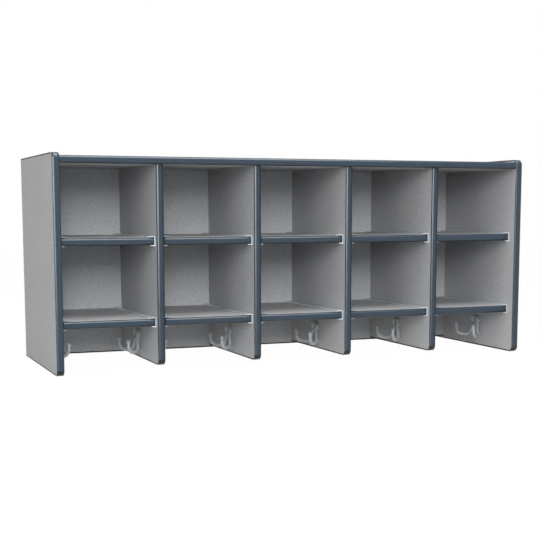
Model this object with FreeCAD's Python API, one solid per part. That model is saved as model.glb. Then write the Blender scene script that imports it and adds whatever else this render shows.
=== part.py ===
import FreeCAD
import Part
import math
import os

# A wall locker for coats: five sections side by side, each with two cubbies over an open hook bay.
# X runs along the width, the front faces -Y, and Z is up. The origin is under the middle of the
# overall box, at the level of the end panels' lower edges.

# Overall size
overall_width = 1232.0
overall_height = 505.5
overall_depth = 405.0
section_count = 5

# Boards: laminated particleboard, eased where it has no edge band
board = 17.5
edge_ease = 0.8

# Edge bands: thick plastic, wrapped round the panels' front corners
band = 3.0
band_round = 2.0
front_corner = 15.0
band_tail = 3.0

# Where each board's front stands behind the end panels' fronts
divider_setback = 13.0
top_setback = 3.5
shelf_setback = 27.0

# Heights
top_drop = 6.5
divider_lift = 12.0
back_lift = 6.5
lower_shelf_top = 122.0
shelf_spacing = 190.5

# Hanging rail between the back panel and the wall
rail_thickness = 30.0
rail_height = 70.0
wall_hole_radius = 3.25
wall_hole_inset = 52.5
wall_hole_count = 3

# Clear channels that hold the shelf ends
channel_wall = 2.0
channel_corner = 3.5
channel_inner_corner = 1.5
seat_width = 12.0
seat_tip = 1.2
lip_flat = 12.0
lip_width = 20.0
lip_rise = 1.2
lip_tip = 1.2
shelf_fit = 0.3
shelf_side_gap = 2.3
shelf_shift = 1.8
shelf_rear_gap = 0.5

# Double hooks, one on each side wall of every hook bay
hook_setback = 177.0
hook_drop = 23.5
hook_height = 56.5
head_width = 34.0
head_height = 23.0
head_thickness = 8.5
head_rim = 3.6
head_rim_round = 1.7
head_dish = 3.0
dish_clearance = 0.2
root_drop = 20.5
root_reach = 3.9
root_spread = 8.0
heel_reach = 8.5
heel_spread = 22.0
heel_radius = 16.0
toe_radius = 19.0
tip_reach = 38.0
tip_spread = 45.5
prong_root_radius = 3.2
prong_bend_radius = 4.3
prong_tip_radius = 2.4
ball_radius = 4.5
ball_height = 31.0

# Screws: head radius, head height, shank radius
frame_head_radius = 5.0
frame_head_height = 3.0
frame_shank_radius = 2.5
frame_screw_length = 50.0
rail_screw_length = 42.0
rail_screw_count = 6
rail_screw_inset = 98.5
channel_head_radius = 3.0
channel_head_height = 1.5
channel_shank_radius = 1.5
hook_head_radius = 3.2
hook_head_height = 2.0
hook_head_round = 1.0
hook_shank_radius = 1.7
wall_bite = 8.0
point_length = 4.0
point_share = 0.3
recess_depth = 1.1
recess_width = 0.8
recess_span_share = 0.6

# Screw rows: distance of a row from the piece's end, or its share of the piece's length
channel_screw_inset = 60.0
top_screw_inset = 80.0
back_screw_shares = (0.12, 0.45, 0.78)

# Cam fittings and dowels that join the top and back panels to the end panels
cam_radius = 7.5
cam_height = 12.6
cam_reach = 24.0
cam_inset = 60.0
bolt_radius = 3.5
bolt_neck_radius = 2.2
bolt_neck_length = 4.0
bolt_head_length = 4.0
bolt_thread_radius = 2.5
bolt_thread_length = 11.0
dowel_radius = 4.0
dowel_length = 30.0
dowel_bite = 10.0
dowel_offset = 32.0
dowel_bevel = 1.0

# Overrun for cuts and the tolerance for finding edges
overrun = 1.0
tolerance = 0.001

# Places worked out from the sizes above
left = -overall_width / 2
right = overall_width / 2
front = -overall_depth / 2
rear = overall_depth / 2
inner_left = left + board
inner_right = right - board
clear_width = (overall_width - (section_count + 1) * board) / section_count
pitch = clear_width + board
divider_front = front + divider_setback
top_front = front + top_setback
shelf_front = front + shelf_setback
back_rear = rear - rail_thickness
back_front = back_rear - board
shelf_rear = back_front - shelf_rear_gap
top_upper = overall_height - top_drop
top_under = top_upper - board
rail_bottom = top_under - rail_height
wall_hole_height = (rail_bottom + top_under) / 2
shelf_width = clear_width - 2 * (channel_wall + shelf_side_gap)
shelf_tops = {"lower": lower_shelf_top, "upper": lower_shelf_top + shelf_spacing}
hook_top = lower_shelf_top - board - hook_drop
hook_bottom = hook_top - hook_height
head_centre = hook_top - head_height / 2
hook_seat = head_thickness - head_dish
hook_screw_offset = head_width / 2 - head_rim - hook_head_radius - dish_clearance

up = FreeCAD.Vector(0, 0, 1)
down = FreeCAD.Vector(0, 0, -1)


def panel_left(index):
    """X of the left face of upright panel number index, counted from the left end."""
    return left + index * pitch


def point(x, y, z):
    return FreeCAD.Vector(x, y, z)


def block(x0, x1, y0, y1, z0, z1):
    return Part.makeBox(x1 - x0, y1 - y0, z1 - z0, point(x0, y0, z0))


def merged(shapes):
    """One solid fused from overlapping or touching solids."""
    whole = shapes[0].fuse(shapes[1:])
    return whole.removeSplitter()


def bored(solid, cutters):
    """The solid without the cutters that reach into it."""
    near = [c for c in cutters if c.BoundBox.intersect(solid.BoundBox)]
    if not near:
        return solid
    return solid.cut(Part.makeCompound(near))


def face_of(edges):
    return Part.Face(Part.Wire(edges))


def quarter(centre, radius, start_degrees):
    """Quarter circle in the YZ plane from start_degrees on, turning from +Y towards +Z."""
    spots = []
    for step in (0, 1, 2):
        angle = math.radians(start_degrees + step * 45)
        spots.append(centre + point(0, radius * math.cos(angle), radius * math.sin(angle)))
    return Part.Arc(spots[0], spots[1], spots[2]).toShape()


def side_plate(x0, y_front, y_rear, z0, z1, low_radius, high_radius):
    """Upright plate, one board thick, with its front corners rounded where a radius is given."""
    edges = []
    corner_low = point(x0, y_front, z0)
    if low_radius:
        centre = point(x0, y_front + low_radius, z0 + low_radius)
        edges.append(quarter(centre, low_radius, 180))
        corner_low = point(x0, y_front, z0 + low_radius)
        start = point(x0, y_front + low_radius, z0)
    else:
        start = corner_low
    corner_high = point(x0, y_front, z1)
    end = corner_high
    if high_radius:
        centre = point(x0, y_front + high_radius, z1 - high_radius)
        edges.append(quarter(centre, high_radius, 90))
        corner_high = point(x0, y_front, z1 - high_radius)
        end = point(x0, y_front + high_radius, z1)
    edges.append(Part.makeLine(corner_low, corner_high))
    edges.append(Part.makeLine(end, point(x0, y_rear, z1)))
    edges.append(Part.makeLine(point(x0, y_rear, z1), point(x0, y_rear, z0)))
    edges.append(Part.makeLine(point(x0, y_rear, z0), start))
    outline = Part.Wire(Part.__sortEdges__(edges))
    return Part.Face(outline).extrude(point(board, 0, 0))


def edges_along(solid, axis, test):
    """Straight edges along an axis whose middle passes the test."""
    found = []
    for edge in solid.Edges:
        if len(edge.Vertexes) < 2:
            continue
        start = edge.Vertexes[0].Point
        end = edge.Vertexes[1].Point
        run = end - start
        if run.Length < tolerance or run.cross(axis).Length > tolerance:
            continue
        if test((start + end) / 2):
            found.append(edge)
    return found


def eased(solid, axis, heights):
    """The board with a small bevel on its long edges at the given heights."""
    edges = edges_along(solid, axis, lambda m: min(abs(m.z - h) for h in heights) < tolerance)
    return solid.makeChamfer(edge_ease, edges)


def upright(index, y_front, y_rear, z0, z1, rounded_top):
    """An upright panel and its front band, as two solids that meet face to face."""
    x0 = panel_left(index)
    high = front_corner if rounded_top else 0
    band_high = band if rounded_top else 0
    inner_high = front_corner - band if rounded_top else 0
    tail_end = y_front + front_corner + band_tail
    whole = side_plate(x0, y_front, y_rear, z0, z1, front_corner, high)
    core = side_plate(x0, y_front + band, y_rear, z0 + band, z1 - band_high,
                      front_corner - band, inner_high)
    core = merged([core, block(x0, x0 + board, tail_end, y_rear, z0, z1)])
    strip = whole.cut(core)
    long_edges = edges_along(strip, up, lambda m: abs(m.y - y_front) < tolerance)
    strip = strip.makeFillet(band_round, long_edges)
    heights = (z0, z1) if rounded_top else (z0,)
    return eased(core, point(0, 1, 0), heights), strip


def straight_band(x0, x1, y_front, z0, z1):
    """Front band of a board that lies flat, with its two long edges rounded."""
    strip = block(x0, x1, y_front, y_front + band, z0, z1)
    long_edges = edges_along(strip, point(1, 0, 0), lambda m: abs(m.y - y_front) < tolerance)
    return strip.makeFillet(band_round, long_edges)


def channel(wall_x, side, shelf_top):
    """Clear channel on a side wall; side is +1 where the section lies towards +X."""
    seat = shelf_top - board - shelf_fit
    under = seat - channel_wall
    lip = shelf_top + shelf_fit
    ceiling = lip + lip_rise
    crown = ceiling + channel_wall
    slant = 1 - math.sqrt(0.5)

    def spot(out, height):
        return point(wall_x + side * out, shelf_front, height)

    corner_mid = spot(channel_corner * slant, crown - channel_corner * slant)
    inner = channel_inner_corner
    inner_mid = spot(channel_wall + inner * slant, ceiling - inner * slant)
    edges = [
        Part.makeLine(spot(0, under), spot(channel_wall, under)),
        Part.makeLine(spot(channel_wall, under), spot(seat_width, seat - seat_tip)),
        Part.makeLine(spot(seat_width, seat - seat_tip), spot(seat_width, seat)),
        Part.makeLine(spot(seat_width, seat), spot(channel_wall, seat)),
        Part.makeLine(spot(channel_wall, seat), spot(channel_wall, ceiling - inner)),
        Part.Arc(spot(channel_wall, ceiling - inner), inner_mid,
                 spot(channel_wall + inner, ceiling)).toShape(),
        Part.makeLine(spot(channel_wall + inner, ceiling), spot(lip_flat, ceiling)),
        Part.makeLine(spot(lip_flat, ceiling), spot(lip_width, lip)),
        Part.makeLine(spot(lip_width, lip), spot(lip_width, lip + lip_tip)),
        Part.makeLine(spot(lip_width, lip + lip_tip), spot(lip_flat, crown)),
        Part.makeLine(spot(lip_flat, crown), spot(channel_corner, crown)),
        Part.Arc(spot(channel_corner, crown), corner_mid,
                 spot(0, crown - channel_corner)).toShape(),
        Part.makeLine(spot(0, crown - channel_corner), spot(0, under)),
    ]
    return face_of(edges).extrude(point(0, back_front - shelf_front, 0))


def cross_recess(head_radius, depth):
    """Cutter for a cross-shaped driver recess, from the top of a head at the origin down."""
    span = head_radius * recess_span_share
    half = recess_width / 2
    bars = [block(-span, span, -half, half, -depth, overrun),
            block(-half, half, -span, span, -depth, overrun)]
    return merged(bars)


def shank(radius, z_start, length):
    """Shank of a screw from z_start down, ending in a blunt point."""
    barrel = length - point_length
    body = Part.makeCylinder(radius, barrel, point(0, 0, z_start), down)
    tip = Part.makeCone(radius, radius * point_share, point_length,
                        point(0, 0, z_start - barrel), down)
    return [body, tip]


def flat_screw(head_radius, head_height, radius, length):
    """Countersunk screw pointing down, its head's flat at the origin."""
    head = Part.makeCone(head_radius, radius, head_height, point(0, 0, 0), down)
    whole = merged([head] + shank(radius, -head_height, length - head_height))
    return whole, whole.cut(cross_recess(head_radius, min(recess_depth, head_height)))


def pan_screw(head_radius, head_height, head_round, radius, length):
    """Pan-head screw pointing down, with the underside of its head at the origin."""
    head = Part.makeCylinder(head_radius, head_height)
    rim = [e for e in head.Edges if abs(e.BoundBox.ZMin - head_height) < tolerance]
    head = head.makeFillet(head_round, rim)
    whole = merged([head] + shank(radius, 0, length))
    recess = cross_recess(head_radius, recess_depth)
    recess.translate(point(0, 0, head_height))
    return whole, whole.cut(recess)


def row_of(start, end, inset, count):
    """Places evenly spaced from one end to the other, the outer two that far inside the ends."""
    step = (end - start - 2 * inset) / (count - 1)
    return [start + inset + index * step for index in range(count)]


def placed(shape, where, direction):
    """A copy of a shape that points down, moved to a place and turned to point along direction."""
    copy = shape.copy()
    turn = FreeCAD.Rotation(down, direction)
    copy.Placement = FreeCAD.Placement(where, turn) * copy.Placement
    return copy


def dowel(start, direction):
    """Wooden dowel with bevelled ends."""
    pin = Part.makeCylinder(dowel_radius, dowel_length)
    pin = pin.makeChamfer(dowel_bevel, [e for e in pin.Edges if e.Closed])
    pin.translate(point(0, 0, -dowel_length))
    return placed(pin, start, direction)


def cam_bolt():
    """Cam bolt pointing down: its thread is below the origin, its head is above."""
    collar_length = cam_reach - bolt_neck_length
    thread = Part.makeCylinder(bolt_thread_radius, bolt_thread_length, point(0, 0, 0), down)
    collar = Part.makeCylinder(bolt_radius, collar_length)
    neck = Part.makeCylinder(bolt_neck_radius, bolt_neck_length, point(0, 0, collar_length))
    head = Part.makeCylinder(bolt_radius, bolt_head_length, point(0, 0, cam_reach))
    return merged([thread, collar, neck, head])


def eased_corner(before, corner, after, radius):
    """Start, middle and end of the arc that rounds one corner of a path."""
    back = (before - corner).normalize()
    ahead = (after - corner).normalize()
    half_angle = back.getAngle(ahead) / 2
    cut_back = radius / math.tan(half_angle)
    middle = corner + (back + ahead).normalize() * (radius / math.sin(half_angle) - radius)
    return corner + back * cut_back, middle, corner + ahead * cut_back


def prong(out_side, along_side):
    """One prong of a hook on a wall whose face is at X = 0: its leg runs down and aside along the
    wall, turns away from the wall through a heel and a toe, and rises to a ball."""

    def spot(reach, spread, height):
        return point(out_side * reach, along_side * spread, height)

    root = spot(root_reach, root_spread, hook_height - root_drop)
    heel = spot(heel_reach, heel_spread, prong_bend_radius)
    toe = spot(tip_reach, tip_spread, prong_bend_radius)
    ball = spot(tip_reach, tip_spread, ball_height)
    heel_start, heel_middle, heel_end = eased_corner(root, heel, toe, heel_radius)
    toe_start, toe_middle, toe_end = eased_corner(heel, toe, ball, toe_radius)
    path = Part.Wire([Part.makeLine(root, heel_start),
                      Part.Arc(heel_start, heel_middle, heel_end).toShape(),
                      Part.makeLine(heel_end, toe_start),
                      Part.Arc(toe_start, toe_middle, toe_end).toShape(),
                      Part.makeLine(toe_end, ball)])
    shell = Part.BRepOffsetAPI.MakePipeShell(path)
    sections = ((prong_root_radius, root, heel_start - root),
                (prong_bend_radius, heel_end, toe_start - heel_end),
                (prong_tip_radius, ball, ball - toe_end))
    for radius, place, way in sections:
        shell.add(Part.Wire(Part.makeCircle(radius, place, way)), False, False)
    shell.build()
    shell.makeSolid()
    return [shell.shape(), Part.makeSphere(prong_root_radius, root), Part.makeSphere(ball_radius, ball)]


def long_round_plate(width, height, thickness):
    """Plate drawn flat about the origin: straight along the middle, half round at both ends."""
    radius = height / 2
    offset = width / 2 - radius
    corners = [point(-offset, -radius, 0), point(offset, -radius, 0),
               point(offset, radius, 0), point(-offset, radius, 0)]
    edges = [Part.makeLine(corners[0], corners[1]),
             Part.Arc(corners[1], point(width / 2, 0, 0), corners[2]).toShape(),
             Part.makeLine(corners[2], corners[3]),
             Part.Arc(corners[3], point(-width / 2, 0, 0), corners[0]).toShape()]
    return face_of(edges).extrude(point(0, 0, thickness))


def standing_off(plate, thickness, rounding, out_side, height):
    """A plate drawn flat, with its outer rim rounded, stood up against the wall at X = 0."""
    rim = [e for e in plate.Edges if abs(e.BoundBox.ZMin - thickness) < tolerance]
    rounded = plate.makeFillet(rounding, rim)
    rounded.rotate(point(0, 0, 0), up, 90)
    rounded.rotate(point(0, 0, 0), point(0, 1, 0), out_side * 90)
    rounded.translate(point(0, 0, height))
    return rounded


def hook(out_side):
    """Double hook standing on a wall whose face is at X = 0, its lowest point near Z = 0."""
    plate = long_round_plate(head_width, head_height, head_thickness)
    dish = long_round_plate(head_width - 2 * head_rim, head_height - 2 * head_rim, head_thickness)
    dish.translate(point(0, 0, hook_seat))
    whole = standing_off(plate.cut(dish), head_thickness, head_rim_round, out_side,
                         hook_height - head_height / 2)
    for shape in prong(out_side, 1) + prong(out_side, -1):
        whole = whole.fuse(shape)
    return whole


def wall_spots(index, side):
    """Face X, direction into the wall and front Y of the wall at one side of a section."""
    if side > 0:
        number = index
        face = panel_left(number) + board
    else:
        number = index + 1
        face = panel_left(number)
    is_end = number in (0, section_count)
    wall_front = front if is_end else divider_front
    return face, point(-side, 0, 0), wall_front


# Screws, pins and fittings
flat_frame, flat_frame_driven = flat_screw(frame_head_radius, frame_head_height,
                                           frame_shank_radius, frame_screw_length)
flat_rail, flat_rail_driven = flat_screw(frame_head_radius, frame_head_height,
                                         frame_shank_radius, rail_screw_length)
flat_channel, flat_channel_driven = flat_screw(channel_head_radius, channel_head_height,
                                               channel_shank_radius, channel_wall + wall_bite)
pan_hook, pan_hook_driven = pan_screw(hook_head_radius, hook_head_height, hook_head_round,
                                      hook_shank_radius, hook_seat + wall_bite)

cutters = []
groups = {"top_screws": [], "back_screws": [], "rail_screws": [], "channel_screws": [],
          "hook_screws": [], "cam_bolts": [], "cam_locks": [], "dowels": []}


def add_screw(group, whole, driven, where, direction):
    cutters.append(placed(whole, where, direction))
    groups[group].append(placed(driven, where, direction))


def add_cam(face_spot, into_end, into_board):
    """Bolt in the end panel at face_spot, and the cam that draws it in from the board's face."""
    bolt = placed(cam_bolt(), face_spot, into_end)
    centre = face_spot - into_end * cam_reach
    mouth = centre - into_board * (board / 2)
    disc = Part.makeCylinder(cam_radius, cam_height, mouth, into_board)
    cutters.append(disc)
    cutters.append(bolt)
    recess = placed(cross_recess(cam_radius, recess_depth), mouth, into_board)
    groups["cam_locks"].append(disc.cut(Part.makeCompound([bolt, recess])))
    groups["cam_bolts"].append(bolt)


def add_dowel(start, direction):
    pin = dowel(start, direction)
    cutters.append(pin)
    groups["dowels"].append(pin)


for number in range(1, section_count):
    middle = panel_left(number) + board / 2
    for y in (top_front + top_screw_inset, back_front - top_screw_inset):
        add_screw("top_screws", flat_frame, flat_frame_driven, point(middle, y, top_upper), down)
    for y in (top_front + top_screw_inset + dowel_offset, back_front - top_screw_inset - dowel_offset):
        add_dowel(point(middle, y, top_under + dowel_bite), down)
    for share in back_screw_shares:
        z = divider_lift + share * (top_under - divider_lift)
        add_screw("back_screws", flat_frame, flat_frame_driven, point(middle, back_rear, z),
                  point(0, -1, 0))

for x in row_of(inner_left, inner_right, rail_screw_inset, rail_screw_count):
    add_screw("rail_screws", flat_rail, flat_rail_driven, point(x, rear, wall_hole_height),
              point(0, -1, 0))

for end_side in (-1, 1):
    face_x = end_side * inner_right
    outwards = point(end_side, 0, 0)
    top_middle = top_upper - board / 2
    back_middle = back_rear - board / 2
    for y, inwards in ((top_front + cam_inset, 1), (back_front - cam_inset, -1)):
        add_cam(point(face_x, y, top_middle), outwards, down)
        add_dowel(point(face_x - end_side * (dowel_length - dowel_bite), y + inwards * dowel_offset,
                        top_middle), outwards)
    for z, inwards in ((back_lift + cam_inset, 1), (rail_bottom - cam_inset, -1)):
        add_cam(point(face_x, back_middle, z), outwards, point(0, -1, 0))
        add_dowel(point(face_x - end_side * (dowel_length - dowel_bite), back_middle,
                        z + inwards * dowel_offset), outwards)

for index in range(section_count):
    for side in (1, -1):
        face, into_wall, wall_front = wall_spots(index, side)
        for shelf_top in shelf_tops.values():
            for y in (shelf_front + channel_screw_inset, back_front - channel_screw_inset):
                add_screw("channel_screws", flat_channel, flat_channel_driven,
                          point(face + side * channel_wall, y, shelf_top - board / 2), into_wall)
        for offset in (-hook_screw_offset, hook_screw_offset):
            add_screw("hook_screws", pan_hook, pan_hook_driven,
                      point(face + side * hook_seat, wall_front + hook_setback + offset,
                            head_centre), into_wall)

parts = {}

# Upright panels and their bands
for number in range(section_count + 1):
    if number == 0:
        name = "left_end"
    elif number == section_count:
        name = "right_end"
    else:
        name = f"divider_{number}"
    if number in (0, section_count):
        core, strip = upright(number, front, rear, 0, overall_height, True)
    else:
        core, strip = upright(number, divider_front, back_front, divider_lift, top_under, False)
    parts[f"{name}_panel"] = bored(core, cutters)
    parts[f"{name}_band"] = strip

# Top panel with its band, back panel and hanging rail
top = block(inner_left, inner_right, top_front + band, rear, top_under, top_upper)
parts["top_panel"] = bored(top, cutters)
parts["top_band"] = straight_band(inner_left, inner_right, top_front, top_under, top_upper)

wall_holes = []
for x in row_of(inner_left, inner_right, wall_hole_inset, wall_hole_count):
    wall_holes.append(Part.makeCylinder(wall_hole_radius, overall_depth,
                                        point(x, front, wall_hole_height), point(0, 1, 0)))
back = block(inner_left, inner_right, back_front, back_rear, back_lift, top_under)
back = eased(back, point(1, 0, 0), (back_lift,))
parts["back_panel"] = bored(back, cutters + wall_holes)
rail = block(inner_left, inner_right, back_rear, rear, rail_bottom, top_under)
parts["hanging_rail"] = bored(rail, cutters + wall_holes)

# Shelves, their bands and the channels that hold them; each shelf lies towards its right channel
for index in range(section_count):
    centre = panel_left(index) + board + clear_width / 2 + shelf_shift
    x0 = centre - shelf_width / 2
    x1 = centre + shelf_width / 2
    channels = []
    for level, shelf_top in shelf_tops.items():
        under = shelf_top - board
        parts[f"{level}_shelf_{index + 1}"] = block(x0, x1, shelf_front + band, shelf_rear,
                                                    under, shelf_top)
        parts[f"{level}_shelf_band_{index + 1}"] = straight_band(x0, x1, shelf_front, under,
                                                                 shelf_top)
        for side in (1, -1):
            face = wall_spots(index, side)[0]
            channels.append(bored(channel(face, side, shelf_top), cutters))
    parts[f"shelf_channels_{index + 1}"] = Part.makeCompound(channels)

# Hooks
for side, name in ((1, "left_hook"), (-1, "right_hook")):
    pattern = hook(side)
    for index in range(section_count):
        face, _, wall_front = wall_spots(index, side)
        piece = pattern.copy()
        piece.translate(point(face, wall_front + hook_setback, hook_bottom))
        parts[f"{name}_{index + 1}"] = bored(piece, cutters)

for name, solids in groups.items():
    parts[name] = Part.makeCompound(solids)

os.makedirs("parts", exist_ok=True)
for name, shape in parts.items():
    shape.exportStep(f"parts/{name}.step")
print(f"{len(parts)} pieces written")
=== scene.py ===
import bpy
import math
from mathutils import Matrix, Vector


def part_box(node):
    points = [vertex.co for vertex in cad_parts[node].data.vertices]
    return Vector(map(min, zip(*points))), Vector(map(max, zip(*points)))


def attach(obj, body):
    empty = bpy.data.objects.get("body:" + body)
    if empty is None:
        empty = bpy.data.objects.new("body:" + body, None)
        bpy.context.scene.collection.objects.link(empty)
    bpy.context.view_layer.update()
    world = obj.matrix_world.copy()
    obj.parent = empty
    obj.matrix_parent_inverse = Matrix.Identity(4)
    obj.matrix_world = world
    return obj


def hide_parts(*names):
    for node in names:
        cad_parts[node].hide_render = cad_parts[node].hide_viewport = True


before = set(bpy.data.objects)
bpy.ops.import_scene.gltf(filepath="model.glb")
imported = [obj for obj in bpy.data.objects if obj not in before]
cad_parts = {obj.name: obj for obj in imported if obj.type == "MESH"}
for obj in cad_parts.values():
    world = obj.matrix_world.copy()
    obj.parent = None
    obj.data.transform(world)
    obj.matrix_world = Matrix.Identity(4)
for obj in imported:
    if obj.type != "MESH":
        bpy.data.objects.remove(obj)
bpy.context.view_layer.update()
print("frame loaded:", len(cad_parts), "nodes")


def span(node, axis):
    # Low and high end of a CAD node along one axis
    low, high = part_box(node)
    return low["XYZ".index(axis)], high["XYZ".index(axis)]


# Sizes in metres that the finishes follow, read from the CAD nodes
dividerLeft, dividerRight = span("divider_3_panel", "X")
nextDividerLeft = span("divider_4_panel", "X")[0]
shelfLow, shelfHigh = span("lower_shelf_1", "Z")
upperShelfLow = span("upper_shelf_1", "Z")[0]
topLow, topHigh = span("top_panel", "Z")
endLow, endHigh = span("left_end_panel", "Z")
dividerLow = span("divider_3_panel", "Z")[0]
backLow = span("back_panel", "Z")[0]
upperChannelTop = span("shelf_channels_1", "Z")[1]
boardThickness = dividerRight - dividerLeft
dividerMiddle = (dividerLeft + dividerRight) / 2
sectionPitch = nextDividerLeft - dividerLeft
clearWidth = nextDividerLeft - dividerRight
shelfMiddle = (shelfLow + shelfHigh) / 2
shelfPitch = upperShelfLow - shelfLow
channelTop = upperChannelTop - shelfPitch
topMiddle = (topLow + topHigh) / 2


# Camera: place in metres, angles in radians, shifts as a share of the picture's side
cameraSetup = {
    "place": (-1.1152, -2.7633, 0.3814),
    "yaw": 0.3815,
    "pitch": -0.1274,
    "roll": 0.0008,
    "sensorWidth": 36.0,
    "lens": 75.97,
    "shiftX": -0.0050,
    "shiftY": 0.1552,
}


def addCamera(setup):
    bpy.ops.object.camera_add(
        location=setup["place"],
        rotation=(math.pi / 2 + setup["pitch"], setup["roll"], -setup["yaw"]),
    )
    camera = bpy.context.object
    camera.name = "photoCamera"
    camera.data.sensor_width = setup["sensorWidth"]
    camera.data.lens = setup["lens"]
    camera.data.shift_x = setup["shiftX"]
    camera.data.shift_y = setup["shiftY"]
    bpy.context.scene.camera = camera
    print("camera placed")


# Node helpers
def addNode(tree, kind, **settings):
    node = tree.nodes.new(kind)
    for name, value in settings.items():
        setattr(node, name, value)
    return node


def mathNode(tree, operation, first, second=None):
    node = addNode(tree, "ShaderNodeMath", operation=operation)
    for socket, value in zip(node.inputs, (first, second)):
        if isinstance(value, (int, float)):
            socket.default_value = value
        elif value is not None:
            tree.links.new(value, socket)
    return node.outputs[0]


def mixColour(tree, share, first, second, blend="MIX"):
    node = addNode(tree, "ShaderNodeMix", data_type="RGBA", blend_type=blend, clamp_factor=True)
    # Inputs 6 and 7 take the two colours, and output 2 gives their mix
    for socket, value in zip((node.inputs["Factor"], node.inputs[6], node.inputs[7]), (share, first, second)):
        if isinstance(value, tuple):
            socket.default_value = (*value, 1)
        elif isinstance(value, (int, float)):
            socket.default_value = value
        else:
            tree.links.new(value, socket)
    return node.outputs[2]


def rampNode(tree, value, low, high, lowColour, highColour):
    node = addNode(tree, "ShaderNodeValToRGB")
    node.color_ramp.elements[0].position = low
    node.color_ramp.elements[0].color = (*lowColour, 1)
    node.color_ramp.elements[1].position = high
    node.color_ramp.elements[1].color = (*highColour, 1)
    tree.links.new(value, node.inputs["Fac"])
    return node.outputs["Color"]


def objectPlace(tree, stretch=(1, 1, 1)):
    # Place on the piece in metres, stretched where a pattern runs one way
    coordinate = addNode(tree, "ShaderNodeTexCoord")
    mapping = addNode(tree, "ShaderNodeMapping")
    mapping.inputs["Scale"].default_value = stretch
    tree.links.new(coordinate.outputs["Object"], mapping.inputs["Vector"])
    return mapping.outputs["Vector"]


def axesOf(tree, vector):
    node = addNode(tree, "ShaderNodeSeparateXYZ")
    tree.links.new(vector, node.inputs[0])
    return node.outputs


def facingOf(tree):
    # Where the surface itself faces, without its bump
    return axesOf(tree, addNode(tree, "ShaderNodeNewGeometry").outputs["True Normal"])


def noiseNode(tree, place, scale, detail=2.0, roughness=0.5):
    node = addNode(tree, "ShaderNodeTexNoise")
    node.inputs["Scale"].default_value = scale
    node.inputs["Detail"].default_value = detail
    node.inputs["Roughness"].default_value = roughness
    tree.links.new(place, node.inputs["Vector"])
    return node.outputs["Fac"]


def bumpNode(tree, height, distance, strength=1.0, before=None):
    node = addNode(tree, "ShaderNodeBump")
    node.inputs["Strength"].default_value = strength
    node.inputs["Distance"].default_value = distance
    tree.links.new(height, node.inputs["Height"])
    if before is not None:
        tree.links.new(before, node.inputs["Normal"])
    return node.outputs["Normal"]


def newFinish(name, settings):
    # A material with its shader's own sockets set
    material = bpy.data.materials.new(name)
    material.use_nodes = True
    tree = material.node_tree
    shader = tree.nodes["Principled BSDF"]
    for socket, value in settings.items():
        shader.inputs[socket].default_value = value
    return material, tree, shader


def toned(colour, share):
    return tuple(part * share for part in colour)


def giveFinish(piece, material):
    piece.data.materials.clear()
    piece.data.materials.append(material)


# Laminated board: speckled grey faces; the tones of the specks and clouds multiply the grey
laminateLook = {
    "grey": (0.425, 0.428, 0.435),
    "backGrey": (0.438, 0.450, 0.463),
    "faceSpecks": {"scale": 700.0, "detail": 3.0, "roughness": 0.65},
    "sideSpecks": {"scale": 480.0, "detail": 3.0, "roughness": 0.65},
    "speckTones": {
        "low": 0.35, "high": 0.65,
        "lowColour": (0.68, 0.68, 0.69), "highColour": (1.22, 1.22, 1.215),
    },
    "clouds": {"scale": 7.0},
    "cloudTones": {
        "low": 0.3, "high": 0.7,
        "lowColour": (0.97, 0.97, 0.98), "highColour": (1.02, 1.02, 1.01),
    },
    "orangePeel": {"scale": 850.0, "detail": 1.0},
    "orangePeelBump": {"distance": 0.00012, "strength": 0.5},
    "sideShine": {"Roughness": 0.55, "Specular IOR Level": 0.25},
    "flatShine": {"Roughness": 0.90, "Specular IOR Level": 0.08},
}
# Raw particleboard shows on every edge without a band
coreLook = {
    "chipScale": 420.0,
    "chipTones": {
        "low": 0.1, "high": 0.8,
        "lowColour": (0.38, 0.19, 0.10), "highColour": (0.13, 0.058, 0.032),
    },
    "faceShare": 0.9,  # A face looks at least this far along the board's thin axis
    "sealed": (0.020, 0.021, 0.016),
    "sealWidth": 0.0036,
}
# Kinds of board; the edges at the named heights are sealed
boardKinds = {
    "end": {
        "name": "endLaminate", "grey": laminateLook["grey"], "thinAxis": "X",
        "specks": laminateLook["sideSpecks"], "shine": laminateLook["sideShine"],
        "lowEdge": endLow, "highEdge": endHigh,
    },
    "divider": {
        "name": "dividerLaminate", "grey": laminateLook["grey"], "thinAxis": "X",
        "specks": laminateLook["sideSpecks"], "shine": laminateLook["sideShine"],
        "lowEdge": dividerLow,
    },
    "flat": {
        "name": "shelfLaminate", "grey": laminateLook["grey"], "thinAxis": "Z",
        "specks": laminateLook["faceSpecks"], "shine": laminateLook["flatShine"],
    },
    "back": {
        "name": "backLaminate", "grey": laminateLook["backGrey"], "thinAxis": "Y",
        "specks": laminateLook["faceSpecks"], "shine": laminateLook["sideShine"],
        "lowEdge": backLow,
    },
}


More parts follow.
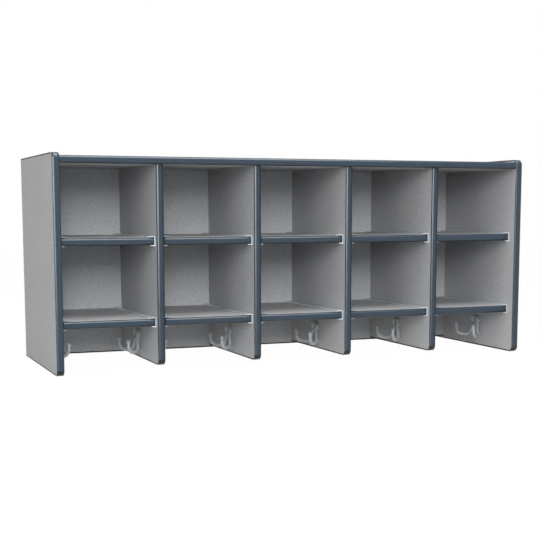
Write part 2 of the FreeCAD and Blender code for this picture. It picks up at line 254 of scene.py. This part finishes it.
def boardFinish(name, grey, thinAxis, specks, shine, lowEdge=None, highEdge=None):
    look, core = laminateLook, coreLook
    material, tree, shader = newFinish(name, shine)
    place = objectPlace(tree)
    speckTone = rampNode(tree, noiseNode(tree, place, **specks), **look["speckTones"])
    cloudTone = rampNode(tree, noiseNode(tree, place, **look["clouds"]), **look["cloudTones"])
    speckled = mixColour(tree, 1.0, grey, speckTone, "MULTIPLY")
    face = mixColour(tree, 1.0, speckled, cloudTone, "MULTIPLY")
    chip = addNode(tree, "ShaderNodeTexVoronoi")
    chip.inputs["Scale"].default_value = core["chipScale"]
    tree.links.new(place, chip.inputs["Vector"])
    chips = rampNode(tree, chip.outputs["Distance"], **core["chipTones"])
    facing = mathNode(tree, "ABSOLUTE", facingOf(tree)[thinAxis])
    board = mixColour(tree, mathNode(tree, "GREATER_THAN", facing, core["faceShare"]), chips, face)
    # A thin dark line of sealer runs along the sealed edges
    height = axesOf(tree, place)["Z"]
    if lowEdge is not None:
        low = mathNode(tree, "LESS_THAN", height, lowEdge + core["sealWidth"])
        board = mixColour(tree, low, board, core["sealed"])
    if highEdge is not None:
        high = mathNode(tree, "GREATER_THAN", height, highEdge - core["sealWidth"])
        board = mixColour(tree, high, board, core["sealed"])
    tree.links.new(board, shader.inputs["Base Color"])
    peel = noiseNode(tree, place, **look["orangePeel"])
    tree.links.new(bumpNode(tree, peel, **look["orangePeelBump"]), shader.inputs["Normal"])
    return material


# Edge band: thick dark blue plastic with faint lines drawn along it
bandLook = {
    "blue": (0.018, 0.034, 0.052),
    # The side tone is a painted sheen on the band's sides facing along X
    "paintedSheenTone": (0.040, 0.050, 0.072),
    # The under tone is painted shade where the band faces down
    "paintedShadeTone": (0.0, 0.0, 0.0),
    "paintedShadeStart": 0.04,  # How far down a surface looks before the painted shade starts, and how fast it then darkens
    "paintedShadeSlope": -3.0,
    "shine": {"Roughness": 0.25, "Specular IOR Level": 0.45},
    "lines": {"scale": 22.0, "detail": 3.0, "roughness": 0.6},
    "lineStretch": 60.0,
    "lineShare": 0.22,  # How far the lines stray from the blue
    "lineRamp": (0.35, 0.65),
    "shoulderBend": 0.09,  # How gently a shoulder starts, in half widths
    "fine": {"scale": 900.0},
    "fineBump": {"distance": 0.00008, "strength": 0.4},
}
# Kinds of band, each as wide as a board; a soft shoulder has a start and a slope, in half widths
bandKinds = {
    "endBand": {
        "name": "endBandPlastic", "axis": 0, "middle": dividerMiddle, "pitch": sectionPitch,
        "shoulderStart": 0.48, "shoulderSlope": 0.60,
    },
    "uprightBand": {
        "name": "uprightBandPlastic", "axis": 0, "middle": dividerMiddle, "pitch": sectionPitch,
        "shoulderStart": 0.42, "shoulderSlope": 0.92,
    },
    "shelfBand": {
        "name": "shelfBandPlastic", "axis": 2, "middle": shelfMiddle, "pitch": shelfPitch,
        "shoulderStart": 0.50, "shoulderSlope": 0.72,
    },
    "topBand": {
        "name": "topBandPlastic", "axis": 2, "middle": topMiddle, "pitch": shelfPitch,
        "shoulderStart": 0.50, "shoulderSlope": 0.72,
    },
}


def bandFinish(name, axis, middle, pitch, shoulderStart, shoulderSlope):
    look = bandLook
    material, tree, shader = newFinish(name, look["shine"])
    stretch = [1.0, 1.0, 1.0]
    stretch[axis] = look["lineStretch"]
    lines = noiseNode(tree, objectPlace(tree, stretch), **look["lines"])
    tone = rampNode(tree, lines, *look["lineRamp"],
                    toned(look["blue"], 1 - look["lineShare"]), toned(look["blue"], 1 + look["lineShare"]))
    # Painted sheen: the sides facing along X are paler; painted shade: what faces down is dark
    facing = facingOf(tree)
    downwards = mathNode(tree, "ADD", facing["Z"], look["paintedShadeStart"])
    paintedShade = mathNode(tree, "MULTIPLY", downwards, look["paintedShadeSlope"])
    sheened = mixColour(tree, mathNode(tree, "ABSOLUTE", facing["X"]), tone, look["paintedSheenTone"])
    tree.links.new(mixColour(tree, paintedShade, sheened, look["paintedShadeTone"]), shader.inputs["Base Color"])
    # The bands' middles lie one pitch apart, and the shoulders fall away smoothly from their start
    place = objectPlace(tree)
    halfWidth = boardThickness / 2
    fromMiddle = mathNode(tree, "SUBTRACT", axesOf(tree, place)[axis], middle)
    away = mathNode(tree, "PINGPONG", fromMiddle, pitch / 2)
    past = mathNode(tree, "SUBTRACT", mathNode(tree, "DIVIDE", away, halfWidth), shoulderStart)
    squares = mathNode(tree, "ADD", mathNode(tree, "POWER", past, 2.0), look["shoulderBend"] ** 2)
    fall = mathNode(tree, "ADD", mathNode(tree, "SQRT", squares), past)
    shoulders = bumpNode(tree, mathNode(tree, "MULTIPLY", fall, -0.5), shoulderSlope * halfWidth)
    fine = bumpNode(tree, noiseNode(tree, place, **look["fine"]), **look["fineBump"], before=shoulders)
    tree.links.new(fine, shader.inputs["Normal"])
    return material


# Clear channels: the cut front ends carry painted light. They are brighter where light would run out of the
# plastic (painted highlights on the web, lip and tip) and darker beside the side wall and on the left-hand
# ends (painted shade). Each part of a cut end has its own colour
channelLook = {
    "tint": (0.44, 0.48, 0.50),
    # The cut-end colours below are painted: highlights on the web, lip and tip, and shade beside the wall and
    # on the left-hand ends
    "webEndHighlight": (0.70, 0.74, 0.76),
    "wallSideShade": (0.28, 0.31, 0.33),
    "lipEndHighlight": (0.56, 0.60, 0.62),
    "tipEndHighlight": (0.64, 0.68, 0.70),
    "leftEndShaded": (0.45, 0.48, 0.50),
    "leftLipShaded": (0.25, 0.265, 0.275),
    "shine": {"Roughness": 0.18, "IOR": 1.49},
    "frontShare": -0.9,  # A cut end looks at least this far to the front
    "wallDepth": 0.0009,  # This depth and the next two count from the section's side wall
    "webDepth": 0.0020,
    "tipDepth": 0.0172,
    "lipDepth": 0.0034,  # From the channel's top
}


def channelFinish():
    look = channelLook
    material, tree, shader = newFinish("clearChannel", look["shine"])
    cut = mathNode(tree, "LESS_THAN", facingOf(tree)["Y"], look["frontShare"])
    # Every section is alike from its middle outwards, and every shelf from its height upwards
    spot = axesOf(tree, objectPlace(tree))
    half, wall = sectionPitch / 2, clearWidth / 2
    aside = mathNode(tree, "PINGPONG", spot["X"], half)
    height = mathNode(tree, "FLOORED_MODULO", spot["Z"], shelfPitch)
    across = mathNode(tree, "FLOORED_MODULO", mathNode(tree, "ADD", spot["X"], half), sectionPitch)
    onLeft = mathNode(tree, "LESS_THAN", across, half)
    onWall = mathNode(tree, "GREATER_THAN", aside, wall - look["wallDepth"])
    offWeb = mathNode(tree, "LESS_THAN", aside, wall - look["webDepth"])
    onTip = mathNode(tree, "LESS_THAN", aside, wall - look["tipDepth"])
    high = mathNode(tree, "GREATER_THAN", height, channelTop - look["lipDepth"])
    onLip = mathNode(tree, "MULTIPLY", high, offWeb)
    # Painted highlights on the web, lip and tip ends; painted shade beside the wall and on the left-hand ends
    paintedLipEnd = mixColour(tree, onTip, look["lipEndHighlight"], look["tipEndHighlight"])
    paintedWebEnd = mixColour(tree, onWall, look["webEndHighlight"], look["wallSideShade"])
    left = mixColour(tree, high, look["leftEndShaded"], look["leftLipShaded"])
    end = mixColour(tree, onLeft, mixColour(tree, onLip, paintedWebEnd, paintedLipEnd), left)
    tree.links.new(mixColour(tree, cut, look["tint"], end), shader.inputs["Base Color"])
    return material


# Hooks: moulded plastic, modelled again from the CAD hooks
hookLook = {
    "grey": (0.35, 0.368, 0.378),
    "shine": {"Roughness": 0.30},
    "clouds": {"scale": 90.0, "detail": 3.0},
    "cloudShare": 0.06,
    "cloudRamp": (0.3, 0.7),
    "fine": {"scale": 1400.0, "detail": 1.0},
    "fineBump": {"distance": 0.00005, "strength": 0.5},
}
hookShape = {
    "mergeWithin": 0.000001,
    "voxel": 0.0005,
    "growth": 0.0008,  # Pushed outwards by this much before the smoothing
    "smoothing": {"factor": 0.5, "iterations": 4},
    "keptShare": 0.22,  # Share of the faces that stay
    "sections": 5,
}


def hookFinish():
    look = hookLook
    material, tree, shader = newFinish("hookPlastic", look["shine"])
    place = objectPlace(tree)
    cloud = noiseNode(tree, place, **look["clouds"])
    tone = rampNode(tree, cloud, *look["cloudRamp"],
                    toned(look["grey"], 1 - look["cloudShare"]), toned(look["grey"], 1 + look["cloudShare"]))
    tree.links.new(tone, shader.inputs["Base Color"])
    fine = noiseNode(tree, place, **look["fine"])
    tree.links.new(bumpNode(tree, fine, **look["fineBump"]), shader.inputs["Normal"])
    return material


def pickOnly(piece):
    bpy.ops.object.select_all(action="DESELECT")
    piece.select_set(True)
    bpy.context.view_layer.objects.active = piece


def copyOf(piece, name):
    pickOnly(piece)
    bpy.ops.object.duplicate()
    copy = bpy.context.object
    copy.name = name
    return copy


def applyModifier(piece, kind, **settings):
    modifier = piece.modifiers.new(kind.lower(), kind)
    for name, value in settings.items():
        setattr(modifier, name, value)
    bpy.ops.object.modifier_apply(modifier=modifier.name)


def modelHook(source, name):
    # One moulding: plate, prongs and balls flow into each other
    piece = copyOf(source, name)
    bpy.ops.object.mode_set(mode="EDIT")
    bpy.ops.mesh.select_all(action="SELECT")
    bpy.ops.mesh.remove_doubles(threshold=hookShape["mergeWithin"])
    bpy.ops.object.mode_set(mode="OBJECT")
    applyModifier(piece, "REMESH", mode="VOXEL", voxel_size=hookShape["voxel"])
    applyModifier(piece, "DISPLACE", strength=hookShape["growth"], mid_level=0.0)
    applyModifier(piece, "SMOOTH", **hookShape["smoothing"])
    applyModifier(piece, "DECIMATE", ratio=hookShape["keptShare"])
    bpy.ops.object.shade_smooth()
    return piece


def placeHooks(side, material):
    # The hook is modelled once for each side wall and copied to the other sections
    pattern = modelHook(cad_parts[side + "_hook_1"], side + "HookMoulding1")
    start = Vector(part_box(side + "_hook_1")[0])
    pieces = [pattern]
    for section in range(2, hookShape["sections"] + 1):
        piece = copyOf(pattern, side + "HookMoulding" + str(section))
        piece.location = Vector(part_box(side + "_hook_" + str(section))[0]) - start
        bpy.ops.object.transform_apply(location=True, rotation=False, scale=False)
        pieces.append(piece)
    for section, piece in enumerate(pieces, 1):
        giveFinish(piece, material)
        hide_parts(side + "_hook_" + str(section))
        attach(piece, "carcass")
    print(side, "hooks modelled:", len(pattern.data.polygons), "faces each")


# Metal fittings
metalLook = {
    "clouds": {"scale": 700.0, "detail": 3.0},
    "cloudRamp": (0.3, 0.7),
    "darkShare": 0.85,
    "roughnessSpread": 0.2,
}
metalKinds = {
    "plated": {"name": "zincPlatedSteel", "colour": (0.62, 0.62, 0.60), "roughness": 0.25},
    "bright": {"name": "brightSteel", "colour": (0.80, 0.81, 0.83), "roughness": 0.08},
    "cast": {"name": "castZinc", "colour": (0.50, 0.50, 0.49), "roughness": 0.40},
}


def metalFinish(name, colour, roughness):
    look = metalLook
    material, tree, shader = newFinish(name, {"Metallic": 1.0})
    cloud = noiseNode(tree, objectPlace(tree), **look["clouds"])
    tone = rampNode(tree, cloud, *look["cloudRamp"], toned(colour, look["darkShare"]), colour)
    tree.links.new(tone, shader.inputs["Base Color"])
    spread = mathNode(tree, "MULTIPLY", cloud, look["roughnessSpread"])
    tree.links.new(mathNode(tree, "ADD", spread, roughness), shader.inputs["Roughness"])
    return material


# Plain wood, with its grain along X
woodLook = {
    "shine": {"Roughness": 0.6},
    "grain": {"scale": 6.0, "detail": 5.0, "roughness": 0.6},
    "grainStretch": (3.0, 60.0, 60.0),
    "grainRamp": (0.3, 0.75),
    "grainBump": {"distance": 0.0003, "strength": 0.4},
    "darkShare": 0.55,
}
woodKinds = {
    "rail": {"name": "railTimber", "colour": (0.60, 0.43, 0.24)},
    "dowel": {"name": "dowelWood", "colour": (0.66, 0.48, 0.28)},
}


def woodFinish(name, colour):
    look = woodLook
    material, tree, shader = newFinish(name, look["shine"])
    grain = noiseNode(tree, objectPlace(tree, look["grainStretch"]), **look["grain"])
    tone = rampNode(tree, grain, *look["grainRamp"], toned(colour, look["darkShare"]), colour)
    tree.links.new(tone, shader.inputs["Base Color"])
    tree.links.new(bumpNode(tree, grain, **look["grainBump"]), shader.inputs["Normal"])
    return material


# The first words found in a node's name give its finish
finishWords = (
    ("back_panel", "back"), ("top_panel", "flat"), ("end_panel", "end"), ("_panel", "divider"),
    ("shelf_band", "shelfBand"), ("top_band", "topBand"), ("end_band", "endBand"), ("_band", "uprightBand"),
    ("shelf_channels", "channel"), ("hook_screws", "bright"), ("_hook_", "hook"),
    ("cam_locks", "cast"), ("cam_bolts", "plated"), ("_screws", "plated"),
    ("hanging_rail", "rail"), ("dowels", "dowel"), ("_shelf_", "flat"),
)


def dressNodes():
    finishes = {"channel": channelFinish(), "hook": hookFinish()}
    for makeFinish, kinds in ((boardFinish, boardKinds), (bandFinish, bandKinds),
                              (metalFinish, metalKinds), (woodFinish, woodKinds)):
        for kind, values in kinds.items():
            finishes[kind] = makeFinish(**values)
    for name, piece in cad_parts.items():
        kind = next(kind for words, kind in finishWords if words in name)
        giveFinish(piece, finishes[kind])
    print("finishes given to", len(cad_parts), "nodes")
    return finishes


# Floor and light: the floor and the world show white, and light the object less
studio = {
    "floorSide": 14.0,
    "floorGrey": (0.40, 0.40, 0.40),
    "floorRoughness": 0.9,
    "floorWhiteShare": 0.95,  # The rest of the floor's look is its own grey, with the shadow
    "floorGlow": 1.03,
    "ambient": 0.35,  # How strongly the world lights the object
    "lampAim": (0.0, 0.0, 0.25),
    "cardAim": (0.0, -0.2, 0.25),
}
# Lamps: places and sizes in metres, power in watts
lamps = {
    "keyLamp": {"place": (-1.219, -4.891, 1.888), "width": 1.6, "height": 1.6, "power": 158.0},
    "lowLamp": {"place": (-1.966, -4.866, 0.988), "width": 1.6, "height": 1.0, "power": 27.0},
    "frontLamp": {"place": (-0.460, -5.280, 0.204), "width": 1.6, "height": 0.3, "power": 7.5},
    "leftLamp": {"place": (-3.883, -3.258, 1.80), "width": 1.4, "height": 1.4, "power": 35.0, "glossy": True},
    "topLamp": {"place": (-0.116, -0.655, 3.38), "width": 1.0, "height": 1.0, "power": 52.0},
    "slopeLamp": {"place": (-0.594, -2.216, 3.527), "width": 1.2, "height": 1.2, "power": 51.0},
    "bayLamp": {
        "place": (0.0, -0.01, 0.002), "aim": (0.0, -0.01, 1.0),
        "width": 1.19, "height": 0.34, "power": 0.33,
    },
}
# White cards that only glossy surfaces see
cards = {
    "leftCard": {"place": (-3.75, -2.2, 0.9), "width": 3.6, "height": 2.4, "brightness": 10.0},
    "topCard": {"place": (0.0, -1.0, 3.4), "width": 3.4, "height": 3.0, "brightness": 7.0},
}


def addLamp(name, place, width, height, power, aim=studio["lampAim"], glossy=False):
    bpy.ops.object.light_add(type="AREA", location=place)
    lamp = bpy.context.object
    lamp.name = name
    lamp.data.shape = "RECTANGLE"
    lamp.data.size = width
    lamp.data.size_y = height
    lamp.data.energy = power
    lamp.rotation_euler = (Vector(aim) - Vector(place)).to_track_quat("-Z", "Y").to_euler()
    lamp.visible_camera = False
    lamp.visible_glossy = glossy
    return lamp


def addCard(name, place, width, height, brightness):
    power = brightness * math.pi * width * height
    card = addLamp(name, place, width, height, power, studio["cardAim"], glossy=True)
    card.visible_diffuse = False
    card.visible_transmission = False


def seenDirectly(tree):
    # 1 where the camera, a mirror or glass looks, and 0 where the surface only lights others
    rays = addNode(tree, "ShaderNodeLightPath").outputs
    return mathNode(tree, "MAXIMUM", rays["Is Camera Ray"],
                    mathNode(tree, "MAXIMUM", rays["Is Glossy Ray"], rays["Is Transmission Ray"]))


def addFloor(setup):
    bpy.ops.mesh.primitive_plane_add(size=setup["floorSide"], location=(0, 0, 0))
    floor = bpy.context.object
    floor.name = "floor"
    material, tree, shader = newFinish("floorPaper", {"Roughness": setup["floorRoughness"]})
    shader.inputs["Base Color"].default_value = (*setup["floorGrey"], 1)
    white = addNode(tree, "ShaderNodeEmission")
    white.inputs["Color"].default_value = (1, 1, 1, 1)
    white.inputs["Strength"].default_value = setup["floorGlow"]
    mix = addNode(tree, "ShaderNodeMixShader")
    whiteShare = mathNode(tree, "MULTIPLY", seenDirectly(tree), setup["floorWhiteShare"])
    tree.links.new(whiteShare, mix.inputs["Fac"])
    tree.links.new(shader.outputs[0], mix.inputs[1])
    tree.links.new(white.outputs[0], mix.inputs[2])
    tree.links.new(mix.outputs[0], tree.nodes["Material Output"].inputs["Surface"])
    giveFinish(floor, material)


def addWorld(setup):
    world = bpy.context.scene.world or bpy.data.worlds.new("studioWorld")
    bpy.context.scene.world = world
    world.use_nodes = True
    tree = world.node_tree
    background = tree.nodes["Background"]
    background.inputs["Color"].default_value = (1, 1, 1, 1)
    extra = mathNode(tree, "MULTIPLY", seenDirectly(tree), 1 - setup["ambient"])
    tree.links.new(mathNode(tree, "ADD", extra, setup["ambient"]), background.inputs["Strength"])


def addLights():
    for name, values in lamps.items():
        addLamp(name, **values)
    for name, values in cards.items():
        addCard(name, **values)
    print("floor, lamps and cards ready")


addCamera(cameraSetup)
finishes = dressNodes()
placeHooks("left", finishes["hook"])
placeHooks("right", finishes["hook"])
addFloor(studio)
addWorld(studio)
addLights()
bpy.context.scene.view_settings.view_transform = "Standard"
